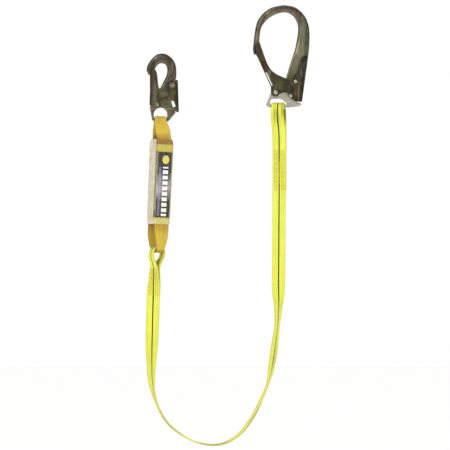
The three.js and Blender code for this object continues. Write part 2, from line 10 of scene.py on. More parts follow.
import bpy
import numpy as np
from mathutils import Matrix, Vector, noise
from mathutils.kdtree import KDTree

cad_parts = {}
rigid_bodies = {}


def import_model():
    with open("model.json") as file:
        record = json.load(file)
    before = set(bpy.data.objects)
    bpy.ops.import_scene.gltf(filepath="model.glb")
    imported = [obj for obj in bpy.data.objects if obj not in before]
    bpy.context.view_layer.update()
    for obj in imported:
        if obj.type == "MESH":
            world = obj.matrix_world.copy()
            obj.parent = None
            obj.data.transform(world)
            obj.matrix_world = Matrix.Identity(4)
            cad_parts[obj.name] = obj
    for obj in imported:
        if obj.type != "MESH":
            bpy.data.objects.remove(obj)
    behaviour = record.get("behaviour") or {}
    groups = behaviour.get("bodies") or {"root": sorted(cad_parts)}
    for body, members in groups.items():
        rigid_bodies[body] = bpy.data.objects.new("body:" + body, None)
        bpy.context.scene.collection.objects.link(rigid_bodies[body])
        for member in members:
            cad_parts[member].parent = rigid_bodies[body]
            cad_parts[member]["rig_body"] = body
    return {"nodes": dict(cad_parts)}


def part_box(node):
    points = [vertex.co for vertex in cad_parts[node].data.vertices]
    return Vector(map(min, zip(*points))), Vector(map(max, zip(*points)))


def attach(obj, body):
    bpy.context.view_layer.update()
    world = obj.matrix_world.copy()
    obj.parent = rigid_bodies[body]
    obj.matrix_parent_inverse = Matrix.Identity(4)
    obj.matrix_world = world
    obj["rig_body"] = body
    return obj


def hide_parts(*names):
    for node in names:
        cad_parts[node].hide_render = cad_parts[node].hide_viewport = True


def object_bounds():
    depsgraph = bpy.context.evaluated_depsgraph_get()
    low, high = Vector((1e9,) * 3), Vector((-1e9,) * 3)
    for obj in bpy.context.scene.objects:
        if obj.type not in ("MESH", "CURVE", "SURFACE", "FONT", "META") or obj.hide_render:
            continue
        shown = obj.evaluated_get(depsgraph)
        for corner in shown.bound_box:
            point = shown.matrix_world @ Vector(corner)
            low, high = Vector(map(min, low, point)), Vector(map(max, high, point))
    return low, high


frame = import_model()
CAD_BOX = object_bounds()
MM = 0.001

# ----------------------------------------
# Dimensions shared with the CAD source, in millimetres
# ----------------------------------------

WEB_WIDTH = 28
WEB_THICKNESS = 3
LOOP_THICKNESS = 2.6
PACK_WEB = 36  # width of the absorber's loops
TEAR_WEB = 35  # width of its folded tear webbing

RIGHT = (1, 0, 0)
LINK_ACROSS = (0.566, -0.824, 0)  # the web stands edge-on to the pack where it runs through its loop

# The long hanging stretch as (x, z, turn): turn 0 faces the viewer, 90 is edge-on, 180 shows the other face.
HANGING_STRETCH = [
    (-5.6, -330, 0),
    (-7, -570, 6),
    (-7.2, -612, 46),
    (-9.5, -652, 65),
    (-16, -706, 58),
    (-22, -744, 62),
    (-30, -780, 78),
    (-43, -811, 77),
    (-62, -849, 74),
    (-92, -887, 76),
    (-130, -906, 80),
    (-172, -903.5, 84),
    (-210, -886, 90),
    (-244, -856, 93),
    (-266, -810, 98),
    (-273, -772, 119),
    (-273.6, -735, 134),
    (-272.8, -695, 158),
    (-271, -640, 176),
]


def hanging(stretch):
    """(x, z, turn) as the (x, y, z, across, width) of a strap's route."""
    route = []
    for i, (x, z, turn) in enumerate(stretch):
        before = stretch[max(i - 1, 0)]
        after = stretch[min(i + 1, len(stretch) - 1)]
        along = Vector((after[0] - before[0], after[1] - before[1])).normalized()
        in_plane = math.cos(math.radians(turn))
        across = (-along.y * in_plane, math.sin(math.radians(turn)), along.x * in_plane)
        route.append((x, 0, z, across, WEB_WIDTH))
    return route


# The lanyard web, from the sewn tail behind the rebar eye to the tail behind the absorber's loop.
WEB_ROUTE = [
    (-4.4, 3.6, -374, RIGHT, 28),
    (-4.2, 3.5, -243, RIGHT, 28),
    (-4.3, 4.4, -222, RIGHT, 27.5),
    (-4.8, 7, -207, RIGHT, 27),
    (-5.8, 6.6, -194.6, RIGHT, 26),
    (-7, 0, -190.2, RIGHT, 25.5),
    (-8.4, -6.6, -194.6, RIGHT, 26),
    (-10, -7, -207, RIGHT, 27),
    (-9.6, -4.4, -222, RIGHT, 27.5),
    (-6.6, -0.6, -246, RIGHT, 28),
    *hanging(HANGING_STRETCH),
    (-269.5, -1.6, -590, (0.99, -0.1, 0), 28),
    (-268.6, -1.7, -562, (0.88, -0.47, 0), 27),
    (-268.6, -3, -532, (0.64, -0.77, 0), 24),
    (-273.4, -8.2, -512, LINK_ACROSS, 21),
    (-271.2, -6.8, -498, LINK_ACROSS, 18),
    (-261.4, 0, -491, LINK_ACROSS, 18),
    (-251.2, 6.8, -498, LINK_ACROSS, 18),
    (-252, 7.4, -512, LINK_ACROSS, 21),
    (-262.4, 1.9, -532, (0.64, -0.77, 0), 24),
    (-266.4, 1.9, -562, (0.88, -0.47, 0), 27),
    (-269, 1.9, -592, (0.99, -0.1, 0), 28),
]

# The pack's own frame: +X across, -Y its front, +Z up.
PACK_PLACE = (
    Matrix.Translation((-255.3, 0, -355))
    @ Matrix.Rotation(math.radians(2.4), 4, "Y")
    @ Matrix.Rotation(math.radians(34.5), 4, "Z")
)
PACK_LENGTH = 178
SLEEVE_WIDTH = 43
SLEEVE_DEPTH_TOP = 36
SLEEVE_DEPTH_BOTTOM = 30
SLEEVE_SQUARENESS = 6.5  # exponent of the sleeve's section: 2 is an ellipse, more is squarer
LABEL_REACH = (74.5, 62.5)  # how far the label goes below and above the pack's middle

# The rivets' places as (x, z).
REBAR_GATE_PIVOT = (-13, -167)
REBAR_LEVER_PIVOT = (28.6, -144.5)
SNAP_GATE_PIVOT = (-261.5, -192.4)
SNAP_LEVER_PIVOT = (-228.3, -151.6)


def mirrored(route):
    """The same stretch of strap on the pack's other face, run back the other way."""
    return [(x, -y, z, across, width) for x, y, z, across, width in reversed(route)]


# The two loops in the pack's own frame. The snap hook's bar does not face the same way as the pack.
SNAP_BAR_ACROSS = (0.824, -0.566, 0)
HALF_TURNED = (0.95, -0.31, 0)
TOP_LOOP_TAIL = [
    (0, 13.2, 42, RIGHT, PACK_WEB),
    (0, 13.6, 62, RIGHT, PACK_WEB),
    (0, 11.6, 79, RIGHT, PACK_WEB),
    (0, 8.6, 92, RIGHT, 35),
]
TOP_LOOP_ROUTE = [
    *TOP_LOOP_TAIL,
    (0, 8.8, 108, HALF_TURNED, 31),
    (-0.1, 8.8, 124, SNAP_BAR_ACROSS, 26),
    (-0.5, 7.4, 132.5, SNAP_BAR_ACROSS, 25),
    (-3.8, 2.6, 136.5, SNAP_BAR_ACROSS, 25),
    (-7.1, -2.2, 132.5, SNAP_BAR_ACROSS, 25),
    (-7.2, -3.8, 124, SNAP_BAR_ACROSS, 26),
    (-3.6, -6.6, 108, HALF_TURNED, 31),
    *mirrored(TOP_LOOP_TAIL),
]
BOTTOM_LOOP_BACK = [
    (0, 11.4, -50, RIGHT, PACK_WEB),
    (0, 11.4, -72, RIGHT, PACK_WEB),
    (0, 11.6, -92, RIGHT, PACK_WEB),
    (0, 13.2, -112, RIGHT, 33),
    (0, 13.6, -130, RIGHT, 25),
    (0, 11.8, -141, RIGHT, 19),
    (0, 5.6, -147, RIGHT, 18),
]
BOTTOM_LOOP_ROUTE = [*BOTTOM_LOOP_BACK, *mirrored(BOTTOM_LOOP_BACK)]

# ----------------------------------------
# Materials
# ----------------------------------------


def paint(red, green, blue):
    """A colour given as 0-255 screen values, in the linear values that shaders take."""
    linear = [((c / 255 + 0.055) / 1.055) ** 2.4 if c > 10 else c / 255 / 12.92 for c in (red, green, blue)]
    return (*linear, 1)


# Patches of other tints that the plating takes where it is thin or stained, and patches of painted light:
# painted shade, painted shade down a sloped rim, and painted highlights.
TINTS_AND_PAINTED_LIGHT = {
    "sage": paint(162, 158, 122),
    "olive": paint(122, 120, 80),
    "umber": paint(98, 82, 72),
    # Painted shade: the dark green-grey of the rebar hook's outer rim where it slopes away from the lamps.
    "painted_rim_shade": paint(76, 84, 64),
    # Painted shade: a dark tint put where the steel lies in shade, in recesses, in gaps between parts and on
    # faces turned from the lamps.
    "painted_shade": paint(56, 54, 42),
    # Painted highlight: a pale tint put where the steel catches the lamps.
    "painted_highlight": paint(188, 178, 158),
}


class Finish:
    """Short names for the nodes of one material."""

    def __init__(self, name, **surface):
        self.material = bpy.data.materials.new(name)
        self.material.use_nodes = True
        self.tree = self.material.node_tree
        self.surface = self.tree.nodes["Principled BSDF"]
        for socket, value in surface.items():
            self.surface.inputs[socket.replace("_", " ")].default_value = value

    def node(self, kind, *inputs, **settings):
        made = self.tree.nodes.new("ShaderNode" + kind)
        for key, value in settings.items():
            setattr(made, key, value)
        for socket, value in zip(made.inputs, inputs):
            self.feed(socket, value)
        return made

    def feed(self, socket, value):
        if isinstance(value, bpy.types.NodeSocket):
            self.tree.links.new(value, socket)
        elif value is not None:
            socket.default_value = value

    def math(self, operation, *inputs):
        return self.node("Math", *inputs, operation=operation).outputs[0]

    def plus(self, first, second):
        return self.math("ADD", first, second)

    def times(self, first, second):
        return self.math("MULTIPLY", first, second)

    def sine(self, value):
        return self.math("SINE", value)

    def place(self):
        """Object coordinates in metres."""
        return self.node("TexCoord").outputs["Object"]

    def across_along(self):
        """A strap's own coordinates in metres: across its width and along its length."""
        parts = self.node("SeparateXYZ", self.node("UVMap", uv_map="cloth").outputs[0])
        return parts.outputs[0], parts.outputs[1]

    def attribute(self, name):
        """A value stored at each vertex; 0 on a mesh that doesn't have it."""
        return self.node("Attribute", attribute_name=name).outputs["Fac"]

    def noise(self, vector, scale, detail=3.0, roughness=0.5):
        return self.node("TexNoise", vector, None, scale, detail, roughness).outputs[0]

    def vector(self, x, y):
        return self.node("CombineXYZ", x, y).outputs[0]

    def between(self, value, low, high, first=0.0, last=1.0):
        """Rescales low..high to first..last and clamps it."""
        return self.node("MapRange", value, low, high, first, last).outputs[0]

    def mix(self, factor, first, second):
        made = self.node("Mix", data_type="RGBA")
        self.feed(made.inputs[0], factor)
        self.feed(made.inputs[6], first)
        self.feed(made.inputs[7], second)
        return made.outputs[2]

    def bump(self, height, distance):
        made = self.node("Bump")
        made.inputs["Distance"].default_value = distance
        self.feed(made.inputs["Height"], height)
        self.set("Normal", made.outputs[0])

    def set(self, socket, value):
        self.feed(self.surface.inputs[socket], value)


def webbing(name, main, shade, selvedge, painted_shade_colour, width, tracer=None):
    """Woven webbing: ribs along it, a herringbone of picks, uneven dye, denser edges and painted shade where
    marks are stored.
    """
    finish = Finish(name, Roughness=0.8, Sheen_Weight=0.25, Sheen_Roughness=0.4)
    rib_pitch, pick_pitch, slant = 1.27 * MM, 1.1 * MM, 0.8
    across, along = finish.across_along()
    half = width * MM / 2
    aside = finish.math("ABSOLUTE", finish.math("SUBTRACT", across, half))
    rib = finish.sine(finish.times(across, 2 * math.pi / rib_pitch))
    slanted = finish.plus(along, finish.times(aside, slant))
    pick = finish.sine(finish.times(slanted, 2 * math.pi / pick_pitch))
    weave = finish.plus(finish.times(rib, 0.35), finish.times(pick, 0.25))
    weave = finish.plus(weave, 0.5)
    streak_place = finish.vector(finish.times(across, 420.0), finish.times(along, 9.0))
    streaks = finish.noise(streak_place, 1.0, 2.0)
    patches = finish.noise(finish.place(), 38.0)
    fibres = finish.noise(finish.place(), 2600.0, 2.0)
    streaked = finish.between(streaks, 0.35, 0.7, 0, 0.45)
    patchy = finish.between(patches, 0.4, 0.7, 0, 0.3)
    worn = finish.plus(streaked, patchy)
    tint = finish.plus(worn, finish.between(weave, 0, 1, 0.22, 0))
    color = finish.mix(tint, main, shade)
    at_edge = finish.between(aside, half - 1.6 * MM, half - 0.6 * MM, 0, 0.75)
    color = finish.mix(at_edge, color, selvedge)
    # Painted shade: the colour goes towards a darker one where the stored marks say.
    painted_web_shade = finish.times(finish.attribute("painted_web_shade"), finish.between(streaks, 0.3, 0.7, 0.55, 1.0))
    color = finish.mix(painted_web_shade, color, painted_shade_colour)
    if tracer:
        float_pitch = 3.2 * MM  # the tracer yarn dips under a pick this often
        in_line = finish.between(aside, 1.1 * MM, 1.5 * MM, 1, 0)
        bound = finish.sine(finish.times(along, 2 * math.pi / float_pitch))
        line = finish.times(in_line, finish.between(bound, -1, -0.8, 0.7, 1))
        color = finish.mix(line, color, tracer)
    finish.set("Base Color", color)
    finish.bump(finish.plus(weave, finish.times(fibres, 0.3)), 0.16 * MM)
    return finish.material


def thread_material(name, main, shade):
    """Twisted sewing thread."""
    finish = Finish(name, Roughness=0.55, Sheen_Weight=0.2)
    ply_pitch = 0.9 * MM
    across, along = finish.across_along()
    twist = finish.plus(finish.times(across, 2.0), finish.times(along, 1.0))
    ply = finish.sine(finish.times(twist, 2 * math.pi / ply_pitch))
    tone = finish.between(finish.noise(finish.place(), 300.0), 0.3, 0.7)
    finish.set("Base Color", finish.mix(tone, main, shade))
    finish.bump(ply, 0.06 * MM)
    return finish.material


def plated_steel(name, light, middle, dark, roughness, grain=1.0):
    """Steel with a dull passivated plating: cloudy tints, handling marks, fine pitting and worn edges, with
    painted shade and painted highlights mixed in from stored patches.
    """
    finish = Finish(name, Metallic=1.0)
    place = finish.place()
    clouds = finish.noise(place, 34.0, 4.0, 0.6)
    stains = finish.noise(place, 120.0, 5.0, 0.65)
    pits = finish.noise(place, 1400.0, 3.0, 0.6)
    color = finish.mix(finish.between(clouds, 0.36, 0.66), middle, dark)
    color = finish.mix(finish.between(stains, 0.42, 0.68, 0, 0.7), color, light)
    # The plating's own tints are mixed in the same way as the painted shade and painted highlights.
    for tint, shade in TINTS_AND_PAINTED_LIGHT.items():
        patch = finish.times(finish.attribute(tint), finish.between(stains, 0.3, 0.6, 1.0, 0.7))
        color = finish.mix(patch, color, shade)
    scuffed = finish.times(finish.attribute("wear"), finish.between(stains, 0.35, 0.65, 0.1, 0.7))
    # Worn edges show less where shade is painted.
    scuffed = finish.times(scuffed, finish.between(finish.attribute("painted_shade"), 0, 1, 1, 0.2))
    color = finish.mix(scuffed, color, paint(176, 170, 152))
    finish.set("Base Color", color)
    rough = finish.between(pits, 0.3, 0.7, roughness - 0.07, roughness + 0.1)
    finish.set("Roughness", finish.math("SUBTRACT", rough, finish.times(scuffed, 0.06)))
    height = finish.plus(finish.times(stains, 0.8), finish.times(pits, 0.5))
    finish.bump(height, 0.12 * MM * grain)
    return finish.material


def rivet_steel(name, light, dark):
    """Upset rivet steel, faintly blotched."""
    finish = Finish(name, Metallic=1.0)
    place = finish.place()
    blotches = finish.noise(place, 420.0)
    finish.set("Base Color", finish.mix(blotches, light, dark))
    finish.set("Roughness", finish.between(blotches, 0.3, 0.7, 0.16, 0.34))
    finish.bump(finish.noise(place, 1800.0), 0.05 * MM)
    return finish.material


def zinc_plate():
    """Bright zinc with the pale lilac and green tints of its passivation."""
    finish = Finish("zinc_plate", Metallic=0.9)
    place = finish.place()
    film = finish.noise(place, 60.0)
    color = finish.mix(finish.between(film, 0.35, 0.5), paint(204, 206, 170), paint(220, 214, 198))
    color = finish.mix(finish.between(film, 0.52, 0.66), color, paint(204, 194, 200))
    finish.set("Base Color", finish.mix(finish.attribute("wear"), color, paint(240, 238, 232)))
    scratches = finish.noise(place, 900.0, 4.0)
    finish.set("Roughness", finish.between(scratches, 0.3, 0.7, 0.22, 0.42))
    finish.bump(scratches, 0.05 * MM)
    return finish.material


def spring_steel():
    """Drawn spring wire with light die marks."""
    finish = Finish("spring_steel", Metallic=1.0)
    marks = finish.noise(finish.place(), 1500.0)
    finish.set("Base Color", finish.mix(marks, paint(150, 150, 148), paint(96, 94, 88)))
    finish.set("Roughness", finish.between(marks, 0.3, 0.7, 0.22, 0.4))
    finish.bump(marks, 0.03 * MM)
    return finish.material


def sleeve_film():
    """Thick shrink film: clear over the label, milky where it folds round the sides."""
    finish = Finish("sleeve_film", IOR=1.45, Coat_Weight=0.5, Coat_Roughness=0.08)
    place = finish.place()
    haze = finish.noise(place, 90.0, 4.0)
    ripple = finish.noise(place, 420.0)
    cover = finish.attribute("milky")
    color = finish.mix(finish.between(haze, 0.35, 0.65), paint(222, 217, 198), paint(202, 195, 166))
    color = finish.mix(finish.attribute("amber"), color, paint(158, 116, 40))
    color = finish.mix(finish.attribute("lemon"), color, paint(228, 218, 92))
    finish.set("Base Color", color)
    finish.set("Alpha", finish.plus(cover, finish.between(haze, 0.52, 0.75, 0, 0.06)))
    finish.set("Roughness", finish.between(ripple, 0.3, 0.7, 0.12, 0.3))
    finish.bump(finish.plus(haze, finish.times(ripple, 0.3)), 0.5 * MM)
    return finish.material


def label_print():
    """A dark printed film with a plain generic pattern: a dot, a column of blocks and thin side bars, and a
    painted glare across its middle.
    """
    finish = Finish("label_print", Coat_Weight=0.3, Coat_Roughness=0.15)
    column = (3, 106)  # the blocks' and bars' lowest and highest millimetre
    dot_at, dot_radius = (21, 121), (8.5, 9)
    glare_at = 64  # middle of the painted glare, a pale cloud painted into the print
    across, along = finish.across_along()

    def band(value, low, high):
        above = finish.math("GREATER_THAN", value, low * MM)
        return finish.times(above, finish.math("LESS_THAN", value, high * MM))

    def repeats(value, pitch, share):
        phase = finish.math("FRACT", finish.math("DIVIDE", value, pitch * MM))
        return finish.times(finish.math("LESS_THAN", phase, share), band(value, *column))

    def squared_offset(value, middle, radius):
        offset = finish.math("DIVIDE", finish.math("SUBTRACT", value, middle * MM), radius * MM)
        return finish.math("POWER", offset, 2.0)

    blocks = finish.times(repeats(along, 11.4, 0.66), band(across, 15, 28))
    bars = finish.times(repeats(along, 4.1, 0.62), band(across, 5, 11))
    aside = squared_offset(across, dot_at[0], dot_radius[0])
    above = squared_offset(along, dot_at[1], dot_radius[1])
    dot = finish.math("LESS_THAN", finish.plus(aside, above), 1.0)
    scuffs = finish.noise(finish.place(), 240.0, 4.0)
    # Painted glare: a painted reflection of the lamps, the print paled in a ragged band across the label.
    from_glare = finish.math("ABSOLUTE", finish.math("SUBTRACT", along, glare_at * MM))
    near_glare = finish.between(from_glare, 8 * MM, 30 * MM, 1, 0)
    patchy = finish.between(finish.noise(finish.place(), 60.0, 2.0), 0.36, 0.6, 0.25, 1)
    painted_glare = finish.times(near_glare, patchy)
    ground = finish.mix(finish.between(scuffs, 0.35, 0.7), paint(20, 15, 12), paint(44, 38, 32))
    ground = finish.mix(painted_glare, ground, paint(176, 168, 168))
    color = finish.mix(blocks, ground, paint(240, 238, 234))
    color = finish.mix(finish.times(bars, 0.75), color, paint(150, 140, 190))
    color = finish.mix(dot, color, paint(214, 200, 96))
    border = finish.math("MAXIMUM", finish.math("LESS_THAN", across, 1.6 * MM), band(across, 35.6, 40))
    color = finish.mix(finish.times(border, 0.8), color, paint(170, 160, 70))
    finish.set("Base Color", color)
    finish.set("Roughness", finish.between(scuffs, 0.3, 0.7, 0.3, 0.5))
    finish.bump(scuffs, 0.06 * MM)
    return finish.material


def studio_surface():
    """The plain pale floor."""
    finish = Finish("pale_floor", Roughness=1.0, Specular_IOR_Level=0.0)
    speckle = finish.noise(finish.place(), 6.0, 2.0)
    finish.set("Base Color", finish.mix(speckle, paint(254, 254, 253), paint(252, 252, 252)))
    return finish.material


# ----------------------------------------
# Camera, lights and floor
# ----------------------------------------


def add_camera():
    """A long lens straight in front, framing the hanging object with a narrow margin."""
    low, high = CAD_BOX
    off_middle = Vector((-0.005, 0, 0.002))
    margin = 1.019
    distance = 7.0
    centre = (low + high) / 2 + off_middle
    view_height = margin * (high.z - low.z)
    camera = bpy.data.objects.new("camera", bpy.data.cameras.new("camera"))
    camera.data.lens = camera.data.sensor_width * distance / view_height
    camera.location = (centre.x, -distance, centre.z)
    camera.rotation_euler = (math.pi / 2, 0, 0)
    bpy.context.scene.collection.objects.link(camera)
    bpy.context.scene.camera = camera


def add_light(name, place, aim, size, power):
    """A square soft box pointed at aim."""
    lamp = bpy.data.lights.new(name, "AREA")
    lamp.size = size
    lamp.energy = power
    light = bpy.data.objects.new(name, lamp)
    light.location = place
    light.rotation_euler = (Vector(aim) - Vector(place)).to_track_quat("-Z", "Y").to_euler()
    bpy.context.scene.collection.objects.link(light)


def add_studio():
    low, high = CAD_BOX
    middle = (low + high) / 2
    add_light("key", (-1.9, -2.6, 1.5), middle, 1.6, 34)
    add_light("fill", (2.4, -2.4, -0.2), middle, 1.8, 9)
    add_light("top", (0.2, 0.6, 2.0), middle, 1.6, 18)
    floor_depth = 0.42
    floor_radius = 14
    bpy.ops.mesh.primitive_circle_add(
        vertices=96, radius=floor_radius, fill_type="NGON", location=(middle.x, middle.y, low.z - floor_depth)
    )
    floor = bpy.context.object
    floor.name = "floor"
    floor.data.materials.append(studio_surface())
    add_surroundings()
    bpy.context.scene.view_settings.view_transform = "Standard"


def add_surroundings():
    """White all round, but a softer grey as seen by the steel's reflections."""
    world = bpy.data.worlds.new("studio")
    world.use_nodes = True
    bpy.context.scene.world = world
    tree = world.node_tree
    choice = tree.nodes.new("ShaderNodeMix")
    choice.data_type = "RGBA"
    choice.inputs[6].default_value = (1.0, 1.0, 1.0, 1)
    choice.inputs[7].default_value = (0.34, 0.34, 0.33, 1)
    ray = tree.nodes.new("ShaderNodeLightPath")
    tree.links.new(ray.outputs["Is Glossy Ray"], choice.inputs[0])
    tree.links.new(choice.outputs[2], tree.nodes["Background"].inputs["Color"])


# ----------------------------------------
# Meshes
# ----------------------------------------


def new_piece(name, points, faces, material, uvs=None):
    """A smooth-shaded mesh object; points are metres, uvs one (u, v) for each face corner."""
    mesh = bpy.data.meshes.new(name)
    mesh.from_pydata(np.asarray(points, float).tolist(), [], [list(map(int, f)) for f in faces])
    mesh.polygons.foreach_set("use_smooth", [True] * len(mesh.polygons))
    if uvs is not None:
        layer = mesh.uv_layers.new(name="cloth")
        layer.data.foreach_set("uv", np.asarray(uvs, np.float32).ravel())
    mesh.validate()
    piece = bpy.data.objects.new(name, mesh)
    piece.data.materials.append(material)
    bpy.context.scene.collection.objects.link(piece)
    return piece


def ring_faces(rings, around, first=0):
    """The quads between closed rings of points, the first ring starting at index first."""
    faces = []
    for low in range(first, first + (rings - 1) * around, around):
        high = low + around
        for k in range(around):
            n = (k + 1) % around
            faces.append((low + k, low + n, high + n, high + k))
    return faces


def store(piece, name, values):
    """Keeps one value for each vertex, for the material to read."""
    layer = piece.data.attributes.new(name, "FLOAT", "POINT")
    layer.data.foreach_set("value", np.asarray(values, np.float32))


def curve(values, steps, span):
    """A smooth run through values, steps samples to each span of it."""
    p = np.asarray(values, float)
    p = np.vstack([2 * p[0] - p[1], p, 2 * p[-1] - p[-2]])
    t = np.linspace(0, 1, steps, endpoint=False)[:, None]
    spans = [span(*p[i - 1 : i + 3], t) for i in range(1, len(p) - 2)]
    return np.vstack([*spans, p[-2][None]])


def centripetal(a, b, c, d, t):
    """The Catmull-Rom span from b to c, for places: it doesn't overshoot where they stand close."""
    before, here, after = (max(np.linalg.norm(q - r) ** 0.5, 1e-4) for q, r in ((b, a), (c, b), (d, c)))
    start = ((b - a) / before - (c - a) / (before + here) + (c - b) / here) * here
    end = ((c - b) / here - (d - b) / (here + after) + (d - c) / after) * here
    cubic = 2 * b - 2 * c + start + end
    square = -3 * b + 3 * c - 2 * start - end
    return cubic * t**3 + square * t**2 + start * t + b


def uniform(a, b, c, d, t):
    """The Catmull-Rom span from b to c, for directions and widths."""
    return 0.5 * (2 * b + (c - a) * t + (2 * a - 5 * b + 4 * c - d) * t**2 + (3 * b - a - 3 * c + d) * t**3)


def unit(vectors):
    return vectors / np.linalg.norm(vectors, axis=1, keepdims=True)


def wander(distances, pitch, seed):
    """Slow, smooth, repeatable unevenness along a strap, about -1 to 1."""
    return np.array([noise.noise(Vector((d / pitch, seed * 7.3, 0))) * 1.6 for d in distances])


class Strap:
    """A flat strap along a route of (x, y, z, across, width) in millimetres, sampled at an even step."""

    def __init__(self, route, thickness, place=None, step=1.2):
        place = place or Matrix.Identity(4)
        points = [place @ Vector(entry[:3]) for entry in route]
        turns = [place.to_3x3() @ Vector(entry[3]) for entry in route]
        fine = 24
        path = curve(points, fine, centripetal)
        across = curve(turns, fine, uniform)
        width = curve([[entry[4]] for entry in route], fine, uniform)
        run = np.concatenate([[0], np.cumsum(np.linalg.norm(np.diff(path, axis=0), axis=1))])
        self.length = run[-1]
        self.thickness = thickness
        self.cloth_width = max(entry[4] for entry in route)
        self.at = np.linspace(0, self.length, int(self.length / step) + 1)
        even = [np.interp(self.at, run, values) for values in (*path.T, *across.T, width[:, 0])]
        self.path = np.stack(even[:3], 1)
        self.width = even[6]
        self.along = unit(np.gradient(self.path, axis=0))
        turned = np.stack(even[3:6], 1)
        turned -= self.along * np.sum(turned * self.along, axis=1, keepdims=True)
        self.across = unit(turned)
        self.face = np.cross(self.along, self.across)

    def distance_at(self, point):
        """How far along the strap the place nearest to a point is."""
        return self.at[np.argmin(np.linalg.norm(self.path - np.array(point), axis=1))]

    def point(self, distance, aside, height):
        """The point that far along the strap, aside of its middle and above its middle plane."""
        pick = [
            np.array([np.interp(distance, self.at, column) for column in values.T])
            for values in (self.path, self.across, self.face)
        ]
        return pick[0] + pick[1] * aside + pick[2] * height


def strap_section(thickness, columns, groove):
    """Offsets round a strap's section as (share of the half width, height): crowned faces, round edges."""
    shares = np.sin(np.linspace(-math.pi / 2, math.pi / 2, columns))
    crown = (1 - np.abs(shares) ** 7) ** (1 / 3)
    bead = 0.1 * np.exp(-(((np.abs(shares) - 0.94) / 0.04) ** 2))
    dip = groove * np.exp(-((shares / 0.05) ** 2))
    height = thickness / 2 * crown + bead * crown - dip
    front = list(zip(shares, height))
    back = [(s, -h) for s, h in reversed(front[1:-1])]
    return front + back


def painted_shading(points, marks):
    """How much painted shade each point takes from marks of (centre, half sizes, strength), in millimetres.
    """
    total = np.zeros(len(points))
    for centre, half_sizes, strength in marks:
        away = np.linalg.norm((points - np.array(centre)) / np.array(half_sizes), axis=1)
        total = np.maximum(total, strength * np.clip(1.8 - 1.4 * away, 0, 1))
    return total


def strap_piece(name, strap, material, columns=33, groove=0.0, cup=0.0, seed=1, marks=()):
    """The strap as a closed mesh with its cloth coordinates. cup lets its section curl a little."""
    section = np.array(strap_section(strap.thickness, columns, groove))
    around, rows = len(section), len(strap.at)
    half = strap.width[:, None] / 2
    curl = cup * wander(strap.at, 70, seed)[:, None] * (section[None, :, 0] ** 2 - 0.33)
    fade = np.clip(np.minimum(strap.at, strap.length - strap.at) / 60, 0, 1)[:, None]
    height = section[None, :, 1] + curl * fade
    ripple = 0.12 * wander(strap.at, 9, seed + 3)[:, None] * section[None, :, 0] ** 8
    points = (
        strap.path[:, None]
        + strap.across[:, None] * (half * section[None, :, 0])[..., None]
        + strap.face[:, None] * (height + ripple)[..., None]
    ).reshape(-1, 3)
    faces = ring_faces(rows, around)
    across_cloth = (section[:, 0] + 1) / 2 * strap.cloth_width * MM
    along_cloth = strap.at * MM
    uvs = []
    for low, high in zip(along_cloth, along_cloth[1:]):
        for left, right in zip(across_cloth, np.roll(across_cloth, -1)):
            uvs += [(left, low), (right, low), (right, high), (left, high)]
    for row, order in ((0, range(around - 1, -1, -1)), (rows - 1, range(around))):
        faces.append([row * around + k for k in order])
        uvs += [(across_cloth[k], along_cloth[row]) for k in order]
    piece = new_piece(name, points * MM, faces, material, uvs)
    # The painted shade from the marks, kept for the material.
    store(piece, "painted_web_shade", painted_shading(points, marks))
    return piece


class Tubes:
    """Many short threads gathered into one mesh."""

    sides = 6
    side_width = 0.3  # of the thread's cloth coordinates, in millimetres

    def __init__(self):
        self.points, self.faces, self.uvs = [], [], []

    def add(self, path, radius, tips=0.35):
        """A thread of that radius along a few points, thinner at its two tips."""
        path = np.asarray(path, float)
        along = unit(np.gradient(path, axis=0))
        helper = np.array([0.31, 0.52, 0.79])
        side = unit(np.cross(along, helper))
        other = np.cross(along, side)
        angles = np.linspace(0, 2 * math.pi, self.sides, endpoint=False)
        first = len(self.points)
        run = 0.0
        runs = []
        for i, centre in enumerate(path):
            run += np.linalg.norm(centre - path[i - 1]) if i else 0
            runs.append(run)
            size = radius * (tips if i in (0, len(path) - 1) else 1)
            for angle in angles:
                self.points.append(centre + size * (side[i] * math.cos(angle) + other[i] * math.sin(angle)))
        self.faces += ring_faces(len(path), self.sides, first)
        for low, high in zip(runs, runs[1:]):
            for k in range(self.sides):
                left, right = k * self.side_width, (k + 1) * self.side_width
                self.uvs += [(left, low), (right, low), (right, high), (left, high)]
        for row, order in ((0, range(self.sides - 1, -1, -1)), (len(path) - 1, range(self.sides))):
            self.faces.append([first + row * self.sides + k for k in order])
            self.uvs += [(0, runs[row])] * self.sides

    def piece(self, name, material):
        return new_piece(name, np.array(self.points) * MM, self.faces, material, np.array(self.uvs) * MM)


def refined(node, voxel, smoothing):
    """A fine, even copy of a CAD solid with its sharp edges eased."""
    source = frame["nodes"][node]
    piece = bpy.data.objects.new("fine_" + node, source.data.copy())
    bpy.context.scene.collection.objects.link(piece)
    weld = piece.modifiers.new("weld", "WELD")
    weld.merge_threshold = 0.002 * MM
    even = piece.modifiers.new("even", "REMESH")
    even.mode = "VOXEL"
    even.voxel_size = voxel * MM
    ease = piece.modifiers.new("ease", "SMOOTH")
    ease.factor = 0.5
    ease.iterations = smoothing
    evaluated = piece.evaluated_get(bpy.context.evaluated_depsgraph_get())
    mesh = bpy.data.meshes.new_from_object(evaluated)
    mesh.polygons.foreach_set("use_smooth", [True] * len(mesh.polygons))
    piece.modifiers.clear()
    piece.data = mesh
    return piece


def vertex_arrays(piece):
    mesh = piece.data
    points = np.empty(len(mesh.vertices) * 3)
    mesh.vertices.foreach_get("co", points)
    normals = np.empty(len(mesh.vertices) * 3, np.float32)
    mesh.vertex_normals.foreach_get("vector", normals)
    return points.reshape(-1, 3) / MM, normals.reshape(-1, 3).astype(float)


def set_points(piece, points):
    piece.data.vertices.foreach_set("co", (points * MM).ravel())
    piece.data.update()


